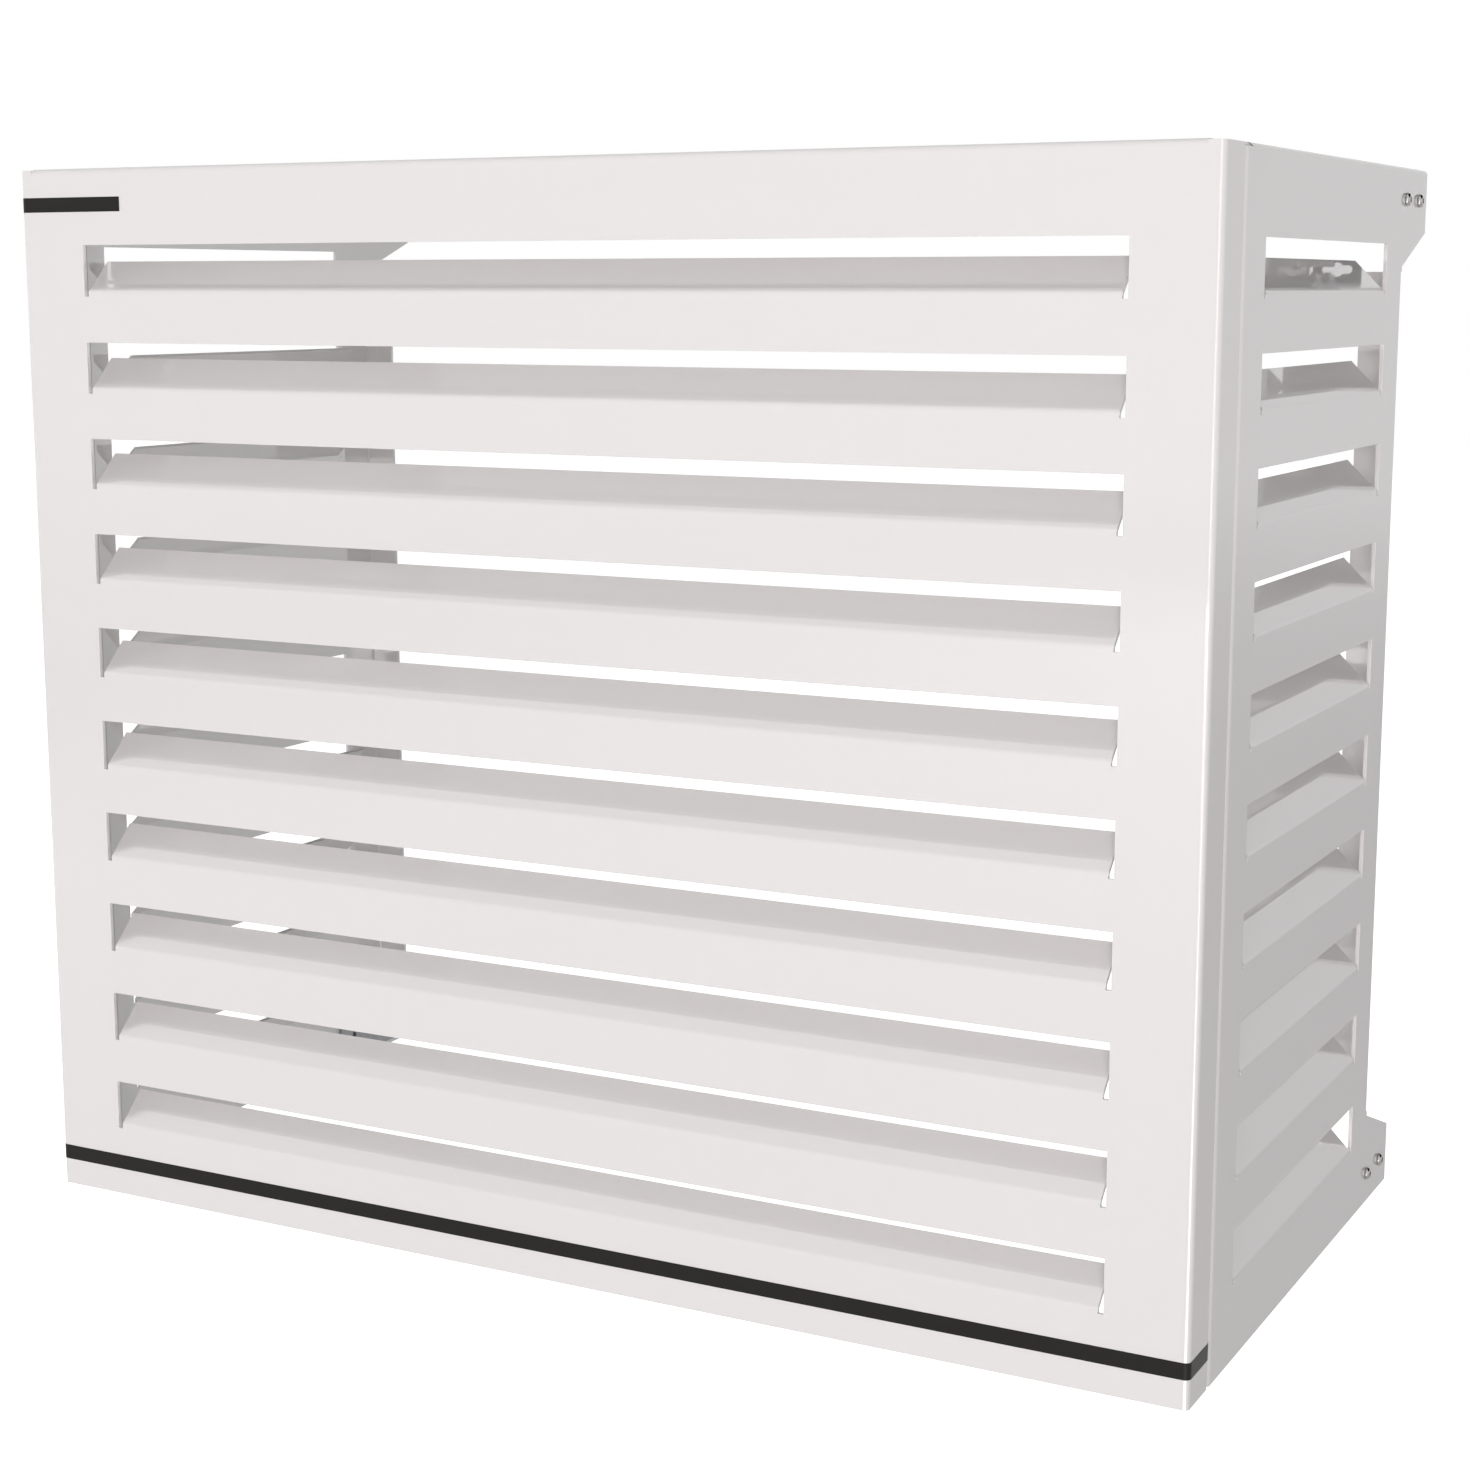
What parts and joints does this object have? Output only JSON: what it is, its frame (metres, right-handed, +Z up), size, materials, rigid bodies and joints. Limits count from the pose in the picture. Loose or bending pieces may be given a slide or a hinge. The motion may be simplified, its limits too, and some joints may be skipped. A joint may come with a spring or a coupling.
{
  "type": "air conditioner screen",
  "caption": "Louvred sheet-metal screen that encloses an outdoor air-conditioning unit on a wall: folded front and sides with inward blades, flat roof, angle brackets, dark stripes.",
  "frame": {"origin": "centre of the bounding box in plan, at the bottom edge of the panels", "axes": "+X to the right seen from the front, +Y from the front face towards the wall, +Z up"},
  "size_m": [1.0072, 0.5406, 0.8517],
  "materials": {
    "white_powder_coat": "smooth glossy white powder coat on 3 mm aluminium sheet",
    "charcoal_film": "satin charcoal self-adhesive film",
    "galvanised_steel": "bare grey galvanised steel",
    "stainless_steel": "polished stainless steel",
    "zinc_plate": "bright zinc plate",
    "rivet_aluminium": "satin aluminium"
  },
  "bodies": {
    "root": {"front_panel": "white_powder_coat", "side_panel_left": "white_powder_coat", "side_panel_right": "white_powder_coat", "roof_panel": "white_powder_coat", "bottom_stripe": "charcoal_film", "top_stripe": "charcoal_film", "wall_bracket_top_left": "galvanised_steel", "ear_screw_top_left_1": "stainless_steel", "ear_washer_top_left_1": "stainless_steel", "ear_nut_top_left_1": "stainless_steel", "ear_screw_top_left_2": "stainless_steel", "ear_washer_top_left_2": "stainless_steel", "ear_nut_top_left_2": "stainless_steel", "wall_bracket_top_right": "galvanised_steel", "ear_screw_top_right_1": "stainless_steel", "ear_washer_top_right_1": "stainless_steel", "ear_nut_top_right_1": "stainless_steel", "ear_screw_top_right_2": "stainless_steel", "ear_washer_top_right_2": "stainless_steel", "ear_nut_top_right_2": "stainless_steel", "wall_bracket_bottom_left": "galvanised_steel", "ear_screw_bottom_left_1": "stainless_steel", "ear_washer_bottom_left_1": "stainless_steel", "ear_nut_bottom_left_1": "stainless_steel", "ear_screw_bottom_left_2": "stainless_steel", "ear_washer_bottom_left_2": "stainless_steel", "ear_nut_bottom_left_2": "stainless_steel", "wall_bracket_bottom_right": "galvanised_steel", "ear_screw_bottom_right_1": "stainless_steel", "ear_washer_bottom_right_1": "stainless_steel", "ear_nut_bottom_right_1": "stainless_steel", "ear_screw_bottom_right_2": "stainless_steel", "ear_washer_bottom_right_2": "stainless_steel", "ear_nut_bottom_right_2": "stainless_steel", "joint_bolt_left_1": "zinc_plate", "joint_nut_left_1": "zinc_plate", "roof_rivet_left_1": "rivet_aluminium", "joint_bolt_left_2": "zinc_plate", "joint_nut_left_2": "zinc_plate", "roof_rivet_left_2": "rivet_aluminium", "joint_bolt_left_3": "zinc_plate", "joint_nut_left_3": "zinc_plate", "roof_rivet_left_3": "rivet_aluminium", "joint_bolt_right_1": "zinc_plate", "joint_nut_right_1": "zinc_plate", "roof_rivet_right_1": "rivet_aluminium", "joint_bolt_right_2": "zinc_plate", "joint_nut_right_2": "zinc_plate", "roof_rivet_right_2": "rivet_aluminium", "joint_bolt_right_3": "zinc_plate", "joint_nut_right_3": "zinc_plate", "roof_rivet_right_3": "rivet_aluminium"}
  },
  "joints": []
}
